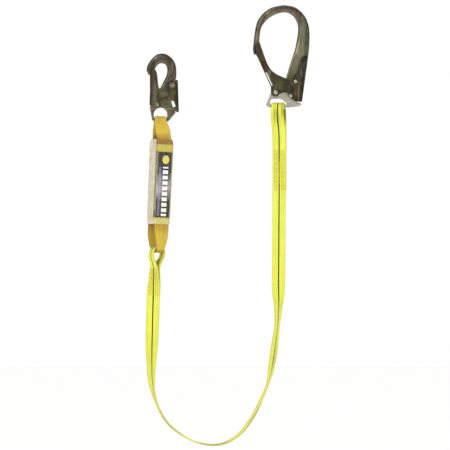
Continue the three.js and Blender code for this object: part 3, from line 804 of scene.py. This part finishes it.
def stand_for(piece, node):
    """The piece takes the CAD node's place and moves with its body."""
    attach(piece, frame["nodes"][node]["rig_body"])
    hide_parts(node)


def add_wear(piece, low, high):
    """Stores how convex each vertex's surroundings are as the attribute 'wear'."""
    points, normals = vertex_arrays(piece)
    edges = np.empty(len(piece.data.edges) * 2, np.int64)
    piece.data.edges.foreach_get("vertices", edges)
    edges = edges.reshape(-1, 2)
    both = np.vstack([edges, edges[:, ::-1]])
    count = np.bincount(both[:, 0], minlength=len(points))[:, None]

    def averaged(values):
        out = np.zeros_like(values)
        np.add.at(out, both[:, 0], values[both[:, 1]])
        return out / np.maximum(count, 1)

    mean = averaged(averaged(points))
    convex = np.sum((points - mean) * normals, axis=1)[:, None]
    convex = averaged(averaged(convex))[:, 0]
    store(piece, "wear", np.clip((convex - low) / (high - low), 0, 1))


def cloud(points, pitch, seed):
    """Repeatable 3-D noise at each point, about -1 to 1."""
    return np.array([noise.noise(Vector(p) / pitch + Vector((seed * 11.7, 0, 0))) * 1.5 for p in points])


def rim_distance(points, level=1.2):
    """How far each point lies from the solid's nearest side wall, in the hook's plane."""
    walls = points[np.abs(points[:, 1]) < level]
    tree = KDTree(len(walls))
    for i, (x, _, z) in enumerate(walls):
        tree.insert((x, 0, z), i)
    tree.balance()
    return np.array([tree.find((x, 0, z))[2] for x, _, z in points])


# ----------------------------------------
# Hooks
# ----------------------------------------


def soft_spots(points, spots):
    """How far each point lies inside ragged ellipses of ((x, z), (half width, half height), strength)."""
    ragged = 0.3 * cloud(points, 7, 4)
    inside = np.zeros(len(points))
    for (x, z), (half_width, half_height), strength in spots:
        away = np.hypot((points[:, 0] - x) / half_width, (points[:, 2] - z) / half_height) + ragged
        inside = np.maximum(inside, strength * np.clip(1.9 - 1.4 * away, 0, 1))
    return inside


def steel_piece(node, voxel, smoothing, material, shape=None, tints=None):
    """A refined copy of a steel part in place of the CAD node, shaped further and tinted, with painted shade
    and painted highlights among its tints.
    """
    piece = refined(node, voxel, smoothing)
    if shape:
        points, normals = vertex_arrays(piece)
        set_points(piece, shape(points, normals))
    add_wear(piece, 0.02, 0.09)
    points, _ = vertex_arrays(piece)
    for tint, spots in (tints or {}).items():
        store(piece, tint, soft_spots(points, spots))
    piece.data.materials.clear()
    piece.data.materials.append(material)
    stand_for(piece, node)


def forged_shape(lowest, crown_width, crown_drop):
    """Above height lowest the section is crowned towards its rim, and the dies' parting line stands proud."""
    blend_height = 12
    ridge_height, ridge_width = 0.28, 0.55

    def shape(points, normals):
        distance = rim_distance(points)
        upper = np.clip((points[:, 2] - lowest) / blend_height, 0, 1)
        slope = np.clip(1 - distance / crown_width, 0, 1)
        points[:, 1] *= 1 - crown_drop * upper * slope**1.5
        on_side_wall = np.abs(normals[:, 1]) < 0.5
        ridge = ridge_height * np.exp(-((points[:, 1] / ridge_width) ** 2)) * on_side_wall * upper
        uneven = 0.1 * cloud(points, 9, 1) + 0.05 * cloud(points, 3, 2)
        return points + normals * (ridge + uneven)[:, None]

    return shape


def pressed_shape(pivot, ring_radius):
    """Sheet steel drawn in slightly round its rivet, and not perfectly flat elsewhere."""
    ring_width, ring_depth = 1.3, 0.3

    def shape(points, normals):
        away = np.hypot(points[:, 0] - pivot[0], points[:, 2] - pivot[1])
        side = np.sign(points[:, 1])
        ring = np.exp(-(((away - ring_radius) / ring_width) ** 2))
        points[:, 1] -= side * ring_depth * ring
        return points + normals * (0.05 * cloud(points, 8, 3))[:, None]

    return shape


def rivet_piece(node, material):
    """A domed rivet head at each end, with a rolled shoulder and a shallow dimple."""
    low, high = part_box(node)
    centre = (low + high) / 2 / MM
    half_span = (high.y - low.y) / 2 / MM
    radius = (high.x - low.x) / 2 / MM
    head = 2.2
    shank = 0.62 * radius
    grip = half_span - head
    dome = [
        (0, half_span - 0.45),
        (0.16, half_span - 0.4),
        (0.3, half_span - 0.1),
        (0.42, half_span),
        (0.6, half_span - 0.14),
        (0.78, half_span - 0.6),
        (0.92, half_span - 1.25),
        (1.0, half_span - 1.8),
        (0.985, half_span - head),
    ]
    profile = [(share * radius, y) for share, y in dome] + [(shank, grip - 0.02), (shank, 0)]
    profile += [(r, -y) for r, y in reversed(profile[:-1])]
    sides = 48
    points = []
    for r, y in profile[1:-1]:
        for k in range(sides):
            angle = 2 * math.pi * k / sides
            reach = r * (1 + 0.012 * math.sin(3 * angle + centre.x))
            points.append((centre.x + reach * math.cos(angle), y, centre.z + reach * math.sin(angle)))
    rings = len(profile) - 2
    faces = ring_faces(rings, sides)
    for row, y, flip in ((0, profile[0][1], False), (rings - 1, profile[-1][1], True)):
        points.append((centre.x, y, centre.z))
        tip = len(points) - 1
        for k in range(sides):
            n = (k + 1) % sides
            pair = (row * sides + n, row * sides + k)
            faces.append((tip, *(reversed(pair) if flip else pair)))
    piece = new_piece("domed_" + node, np.array(points) * MM, faces, material)
    stand_for(piece, node)


# Where each steel part's plating is tinted, and where shade and highlights are painted onto it: ((x, z),
# (half width, half height), strength) in millimetres.
REBAR_BODY_TINTS = {
    "sage": [((39, -78), (12, 18), 0.9), ((24, -112), (8, 20), 0.55), ((47, -52), (5, 12), 0.4)],
    "olive": [((-36, -4), (15, 13), 0.5), ((-48, -42), (6, 30), 0.35), ((20, -130), (8, 12), 0.7)],
    "umber": [((6, 8), (34, 10), 0.75), ((40, -16), (10, 20), 0.5), ((-51, -80), (6, 18), 0.5)],
    # Painted shade down the sloped outer rim on the body's right.
    "painted_rim_shade": [((55.6, -56), (8.6, 68), 1.0)],
    # Painted highlights down the body's right side.
    "painted_highlight": [((45, -36), (5, 30), 0.4), ((33, -96), (4, 20), 0.35)],
    # Painted shade on the lower body between gate and lever, along the nose and left of the crown.
    "painted_shade": [((23, -168), (11, 22), 1.0), ((-59, -74), (3, 24), 0.8), ((-44, -14), (11, 30), 0.7)],
}
REBAR_GATE_TINTS = {
    "olive": [((-4, -154), (15, 9), 0.7), ((-40, -95), (5, 12), 0.4)],
    "umber": [((-47, -80), (7, 14), 0.8), ((-30, -112), (7, 12), 0.7), ((2, -139), (16, 5), 0.9)],
    # Painted shade at the gate's pivot, along its arm and at its right end.
    "painted_shade": [((-8, -168), (7, 5), 0.9), ((-40, -118), (3, 14), 0.6), ((10, -156), (10, 12), 0.6)],
    # A painted highlight strip down the gate's arm.
    "painted_highlight": [((-27, -130), (3, 11), 0.6)],
}
REBAR_LEVER_TINTS = {
    "umber": [((37, -124), (8, 20), 0.9), ((30, -160), (5, 12), 0.6)],
    # Painted shade in the notch at the lever's top, in the gap by the spine, left of its pivot and round its
    # lower end.
    "painted_shade": [
        ((45, -97), (8, 8), 1.0),
        ((44, -150), (4, 38), 0.8),
        ((26, -138), (6, 10), 0.7),
        ((28, -182), (9, 9), 0.8),
    ],
    # Painted highlight strips down the lever's folded edges.
    "painted_highlight": [((35, -166), (1.8, 18), 0.4), ((41, -128), (1.8, 9), 0.35)],
    "olive": [((28, -174), (5, 9), 0.6), ((48, -160), (3, 26), 0.4)],
}
SNAP_BODY_TINTS = {
    "olive": [((-277, -118), (9, 16), 0.3), ((-238, -200), (14, 14), 0.7), ((-268, -100), (8, 8), 0.5)],
    "umber": [((-244, -96), (22, 12), 0.85), ((-224, -124), (7, 24), 0.85), ((-236, -120), (8, 16), 0.5)],
    # Painted shade on the left rim's slope, in a band across the top and beside the lever.
    "painted_shade": [((-276, -108), (10, 20), 0.9), ((-252, -86.5), (26, 3.5), 0.8), ((-240, -148), (5, 16), 0.6)],
    # A painted highlight on the spine.
    "painted_highlight": [((-230, -112), (3, 10), 0.25)],
}
SNAP_GATE_TINTS = {
    "olive": [((-268, -190), (7, 12), 0.8), ((-250, -164), (12, 8), 0.8), ((-247, -190), (7, 7), 0.9)],
    "umber": [((-252, -178), (9, 5), 0.6), ((-268, -148), (4, 16), 0.4)],
    # Painted shade along the gate's left edge, at its right and above its pivot.
    "painted_shade": [((-275.5, -165), (2.6, 40), 0.9), ((-240, -160), (4, 6), 0.5), ((-262, -184), (9, 3), 0.4)],
    # Painted highlights on the gate's face.
    "painted_highlight": [((-266, -168), (4, 20), 0.35), ((-248, -172), (8, 5), 0.3)],
}
SNAP_LEVER_TINTS = {
    "olive": [((-228, -172), (6, 12), 0.7), ((-226, -202), (6, 6), 0.8)],
    # Painted shade along the lever's right edge and near its top.
    "painted_shade": [((-218.5, -175), (2.6, 34), 0.9), ((-222, -178), (4, 8), 0.7), ((-232, -144), (6, 4), 0.6)],
    # A painted highlight near the lever's rivet.
    "painted_highlight": [((-231, -154), (4, 5), 0.4)],
}


def add_hooks():
    forged = plated_steel("forged_plated", paint(146, 136, 122), paint(122, 112, 98), paint(92, 86, 70), 0.4)
    pressed = plated_steel(
        "pressed_plated", paint(118, 108, 84), paint(92, 82, 62), paint(66, 60, 42), 0.36, grain=0.5
    )
    zinc = zinc_plate()
    bright = rivet_steel("bright_rivet", paint(220, 215, 202), paint(150, 142, 124))
    dulled = rivet_steel("dulled_rivet", paint(168, 162, 142), paint(112, 106, 88))
    wire = spring_steel()
    sheet_parts = [
        ("rebar_gate", 0.5, REBAR_GATE_PIVOT, 7.4, REBAR_GATE_TINTS),
        ("rebar_lock_lever", 0.5, REBAR_LEVER_PIVOT, 6.4, REBAR_LEVER_TINTS),
        ("snap_gate", 0.45, SNAP_GATE_PIVOT, 7.2, SNAP_GATE_TINTS),
        ("snap_lock_lever", 0.45, SNAP_LEVER_PIVOT, 7.2, SNAP_LEVER_TINTS),
    ]
    steel_piece("rebar_hook_body", 0.75, 3, forged, forged_shape(-96, 7, 0.42), REBAR_BODY_TINTS)
    steel_piece("snap_hook_body", 0.6, 3, forged, forged_shape(-158, 6, 0.4), SNAP_BODY_TINTS)
    for node, voxel, pivot, ring_radius, tints in sheet_parts:
        steel_piece(node, voxel, 2, pressed, pressed_shape(pivot, ring_radius), tints)
    steel_piece("rebar_eye_plate", 0.5, 3, zinc)
    for node in ("rebar_gate", "rebar_lever", "rebar_eye"):
        rivet_piece(node + "_rivet", bright)
    for node in ("snap_gate", "snap_lever"):
        rivet_piece(node + "_rivet", dulled)
    for node in ("rebar_gate", "rebar_lever", "snap_gate", "snap_lever"):
        frame["nodes"][node + "_spring"].data.materials[0] = wire


# ----------------------------------------
# Lanyard web and its stitching
# ----------------------------------------


def zigzag(tubes, strap, start, end, aside, face):
    """A lengthwise row of zigzag stitches on one face of a strap."""
    amplitude, pitch, radius, sunk, proud = 1.3, 3.6, 0.36, 0.25, 0.34
    surface = face * strap.thickness / 2
    side = 1
    distance = start
    while distance < end:
        a = strap.point(distance, aside - side * amplitude, surface - face * sunk)
        b = strap.point(distance + pitch / 2, aside + side * amplitude, surface - face * sunk)
        lift = strap.point(distance + pitch / 4, aside, surface + face * proud) - (a + b) / 2
        rise, fall = a * 0.8 + b * 0.2 + lift * 0.85, a * 0.2 + b * 0.8 + lift * 0.85
        tubes.add([a, rise, (a + b) / 2 + lift, fall, b], radius)
        distance += pitch / 2
        side = -side


def rung(tubes, strap, distance, half_width, face):
    """A straight row of short stitches across one face of a strap."""
    stitch, radius, sunk, proud = 3.0, 0.42, 0.25, 0.34
    surface = face * strap.thickness / 2
    aside = -half_width
    while aside + stitch <= half_width:
        a = strap.point(distance, aside, surface - face * sunk)
        b = strap.point(distance, aside + stitch, surface - face * sunk)
        middle = strap.point(distance, aside + stitch / 2, surface + face * proud)
        tubes.add([a, (a + 2 * middle) / 3, middle, (b + 2 * middle) / 3, b], radius)
        aside += stitch


def sewn_patch(name, strap, seams, material):
    """The thread that closes a loop. A seam is its zigzag rows and their face, and rungs cross the rows."""
    rung_pitch, rung_reach = 9, 12
    tubes = Tubes()
    for rows, face in seams:
        for start, end, aside in rows:
            zigzag(tubes, strap, start, end, aside, face)
        first, last = rows[0][:2]
        for distance in np.linspace(first, last, int((last - first) / rung_pitch) + 1):
            rung(tubes, strap, distance, rung_reach, face)
    return tubes.piece(name, material)


# Where shade is painted onto the web: in its creases and on its back leg by the rebar eye, over the bar,
# where it runs through the pack's loop, down its hanging leg and at its bends; ((x, y, z), half sizes,
# strength) in millimetres.
WEB_PAINTED_SHADE = [
    ((-15.5, -7, -216), (2.6, 8, 22), 0.65),
    ((-8, -7, -222), (2.4, 8, 22), 0.75),
    ((0.5, -6, -204), (3, 6, 18), 0.65),
    ((8, 6, -212), (7, 6, 26), 0.85),
    ((-9, 0, -192), (16, 9, 4), 0.35),
    ((-262, 0, -494), (14, 12, 9), 0.65),
    ((-262, 1, -522), (7, 12, 13), 0.8),
    ((-263, -3, -552), (6, 8, 24), 0.1),
    ((-140, 0, -905), (46, 20, 12), 0.75),
    ((-232, 0, -868), (44, 20, 40), 0.4),
    ((-66, 14, -852), (44, 16, 54), 0.6),
    ((-18, 8, -716), (12, 12, 36), 0.25),
]


def stitch_rows(start, length, places):
    """Zigzag rows of (start, end, aside) side by side."""
    return [(start, start + length, aside) for aside in places]


def add_lanyard_web():
    cloth = webbing(
        "yellow_webbing",
        paint(228, 232, 90),
        paint(196, 200, 48),
        paint(206, 184, 72),
        paint(112, 98, 20),
        WEB_WIDTH,
        tracer=paint(30, 25, 2),
    )
    strap = Strap(WEB_ROUTE, WEB_THICKNESS)
    web = strap_piece("woven_lanyard_web", strap, cloth, groove=0.12, cup=0.5, seed=2, marks=WEB_PAINTED_SHADE)
    yarn = thread_material("gold_thread", paint(234, 216, 78), paint(200, 178, 48))
    places = (-9.6, -5.2, 5.2, 9.6)
    tail_end = 2  # how far the thread stays from the end of a tail
    rebar_length, absorber_length = 82, 54
    below_eye = strap.distance_at((-6.2, -0.4, -290))
    over_tracer = (below_eye + 22, below_eye + 66, 0)
    rebar_seams = [
        ([*stitch_rows(below_eye, rebar_length, places), over_tracer], 1),
        (stitch_rows(tail_end, rebar_length, places), 1),
    ]
    rebar_patch = sewn_patch("rebar_end_zigzag", strap, rebar_seams, yarn)
    above_tail = strap.distance_at((-269.5, -1.6, -592))
    on_tail = strap.length - tail_end - absorber_length
    absorber_seams = [
        (stitch_rows(above_tail, absorber_length, (-9.6, -5.2, -1.6, 5.2, 9.6)), -1),
        (stitch_rows(on_tail, absorber_length, places), -1),
    ]
    absorber_patch = sewn_patch("absorber_end_zigzag", strap, absorber_seams, yarn)
    stand_for(web, "lanyard_web")
    stand_for(rebar_patch, "rebar_end_stitching")
    stand_for(absorber_patch, "absorber_end_stitching")


# ----------------------------------------
# Shock absorber pack
# ----------------------------------------


def fold_route(layers, pitch, first_layer, bottom, top, width):
    """A strap folded back and forth into a stack of flat layers."""
    straight_end = 5  # how far from its fold each layer is held flat
    route = []
    for i in range(layers):
        y = first_layer + i * pitch
        way = 1 if i % 2 == 0 else -1
        start, end = (bottom, top) if way > 0 else (top, bottom)
        for z in (start, start + way * straight_end, end - way * straight_end, end):
            route.append((0, y, z, RIGHT, width))
        if i < layers - 1:
            route.append((0, y + pitch / 2, end + way * 0.45 * pitch, RIGHT, width))
    return route


def sleeve_depth(z):
    """The pack is deeper at its top than at its bottom."""
    return SLEEVE_DEPTH_BOTTOM + (SLEEVE_DEPTH_TOP - SLEEVE_DEPTH_BOTTOM) * (z / PACK_LENGTH + 0.5)


def sleeve_front(x, z):
    """How far forward of the pack's middle the sleeve's front stands."""
    share = abs(2 * x / SLEEVE_WIDTH)
    return sleeve_depth(z) / 2 * (1 - share**SLEEVE_SQUARENESS) ** (1 / SLEEVE_SQUARENESS)


def puckered(at, outward, near_end):
    """A point of the sleeve moved by the film's creases, which are deeper near its open ends."""
    x, y, z = at
    pucker = noise.noise(Vector((x / 9, y / 9, z / 26))) * 0.9
    pucker += noise.noise(Vector((x / 3.2, y / 3.2, z / 5 + 40))) * 0.22
    pinch = near_end * noise.noise(Vector((x / 2.5, y / 2.5, 3))) * 0.9
    return at + outward * (pucker + pinch - 0.45)


def film_tints(at, x_share, forward):
    """How (milky, amber, lemon) the film is: clear over the label, coloured above and below it."""
    below_label = min(1, max(0, (-LABEL_REACH[0] - at.z) / 3))
    folded_over = min(1, max(0, (at.z - LABEL_REACH[1] - 14) / 2.5))
    above_label = min(1, max(0, (at.z - LABEL_REACH[1]) / 2)) * (1 - folded_over)
    covered = 0.6 * below_label + 0.36 * above_label + 0.4 * folded_over
    clear = min(1, 1.6 * max(0, forward) ** 0.5 * (abs(x_share) < 0.985))
    front_edge = (forward > 0) * max(0, 1 - abs(x_share + 0.95) / 0.06) * max(above_label, folded_over)
    milky = 0.84 - clear * (0.83 - covered)
    amber = clear * 0.85 * folded_over + 0.14 * (0.6 + noise.noise(at / 20)) + 0.8 * front_edge
    lemon = clear * (0.9 * above_label + 0.62 * below_label)
    return milky, amber, lemon


def sleeve_piece(material):
    """Shrink film pulled round the pack: flat over its faces, drawn in at both ends, finely puckered."""
    rings, around = 150, 120
    drawn_top, drawn_bottom = 13, 9  # how far from each end the film is drawn in
    roundness = 2 / SLEEVE_SQUARENESS
    points, tints = [], []
    for i in range(rings + 1):
        z = (i / rings - 0.5) * PACK_LENGTH
        from_top = max(0, 1 - (PACK_LENGTH / 2 - z) / drawn_top)
        from_bottom = max(0, 1 - (PACK_LENGTH / 2 + z) / drawn_bottom)
        draw_in = 0.13 * from_top**2 + 0.05 * from_bottom**2
        half_x = SLEEVE_WIDTH / 2 * (1 - draw_in)
        half_y = sleeve_depth(z) / 2 * (1 - 1.5 * draw_in)
        for k in range(around):
            angle = 2 * math.pi * k / around
            c, s = math.cos(angle), math.sin(angle)
            x_share = math.copysign(abs(c) ** roundness, c)
            y_share = math.copysign(abs(s) ** roundness, s)
            at = Vector((half_x * x_share, half_y * y_share, z))
            points.append(list(PACK_PLACE @ puckered(at, Vector((c, s, 0)), from_top + from_bottom)))
            tints.append(film_tints(at, x_share, -s))
    piece = new_piece("shrink_sleeve", np.array(points) * MM, ring_faces(rings + 1, around), material)
    for name, values in zip(("milky", "amber", "lemon"), zip(*tints)):
        store(piece, name, values)
    wall = piece.modifiers.new("wall", "SOLIDIFY")
    wall.thickness = 0.45 * MM
    wall.offset = 1
    return piece


def label_piece(material):
    """The printed film under the sleeve, carried a little way round the pack's front corners."""
    width, length = 38, LABEL_REACH[0] + LABEL_REACH[1]
    inside = 1.7  # how far behind the sleeve's front the label lies
    columns, rows = 40, 90
    points, faces, uvs = [], [], []
    for i in range(rows + 1):
        for k in range(columns + 1):
            x = (k / columns - 0.5) * width
            z = i / rows * length - LABEL_REACH[0]
            buckle = 0.15 * noise.noise(Vector((x / 12, 0, z / 18)))
            points.append(list(PACK_PLACE @ Vector((x, inside - sleeve_front(x, z) + buckle, z))))
    for i in range(rows):
        for k in range(columns):
            a = i * (columns + 1) + k
            faces.append((a, a + 1, a + columns + 2, a + columns + 1))
            for dk, di in ((0, 0), (1, 0), (1, 1), (0, 1)):
                uvs.append(((k + dk) / columns * width * MM, (i + di) / rows * length * MM))
    piece = new_piece("printed_label", np.array(points) * MM, faces, material, uvs)
    film = piece.modifiers.new("film", "SOLIDIFY")
    film.thickness = 0.25 * MM
    film.offset = -1
    return piece


# Where shade is painted onto the absorber's webbing, beside the sleeve's ends and at the link, given the same
# way as for the lanyard web.
PACK_PAINTED_SHADE = [
    ((-260, 0, -268), (30, 30, 14), 0.7),
    ((-258, 0, -226), (16, 14, 9), 0.45),
    ((-255, 0, -448), (30, 30, 16), 0.5),
    ((-256, -8, -502), (14, 14, 4), 0.8),
    ((-239, -20, -470), (5, 9, 34), 0.4),
]


def add_absorber():
    gold = webbing(
        "gold_webbing",
        paint(214, 190, 66),
        paint(182, 146, 30),
        paint(124, 108, 22),
        paint(150, 96, 18),
        PACK_WEB,
    )
    tear = webbing(
        "tear_webbing",
        paint(240, 234, 208),
        paint(214, 204, 166),
        paint(232, 226, 196),
        paint(190, 176, 130),
        TEAR_WEB,
    )
    pieces = [
        ("woven_top_loop", TOP_LOOP_ROUTE, LOOP_THICKNESS, gold, "absorber_top_loop"),
        ("woven_bottom_loop", BOTTOM_LOOP_ROUTE, LOOP_THICKNESS, gold, "absorber_bottom_loop"),
        ("stacked_tear_web", fold_route(5, 2.7, -8.2, -58, 60, TEAR_WEB), 2.2, tear, "folded_tear_web"),
        ("stacked_backup_web", fold_route(2, 2.9, 5.6, -56, 58, 25), 2.2, gold, "folded_backup_web"),
    ]
    for name, route, thickness, material, node in pieces:
        strap = Strap(route, thickness, PACK_PLACE, step=0.9)
        stand_for(strap_piece(name, strap, material, columns=25, seed=5, marks=PACK_PAINTED_SHADE), node)
    stand_for(sleeve_piece(sleeve_film()), "absorber_sleeve")
    stand_for(label_piece(label_print()), "absorber_label")


# ----------------------------------------
# Build
# ----------------------------------------

add_camera()
add_lanyard_web()
add_studio()
add_absorber()
add_hooks()
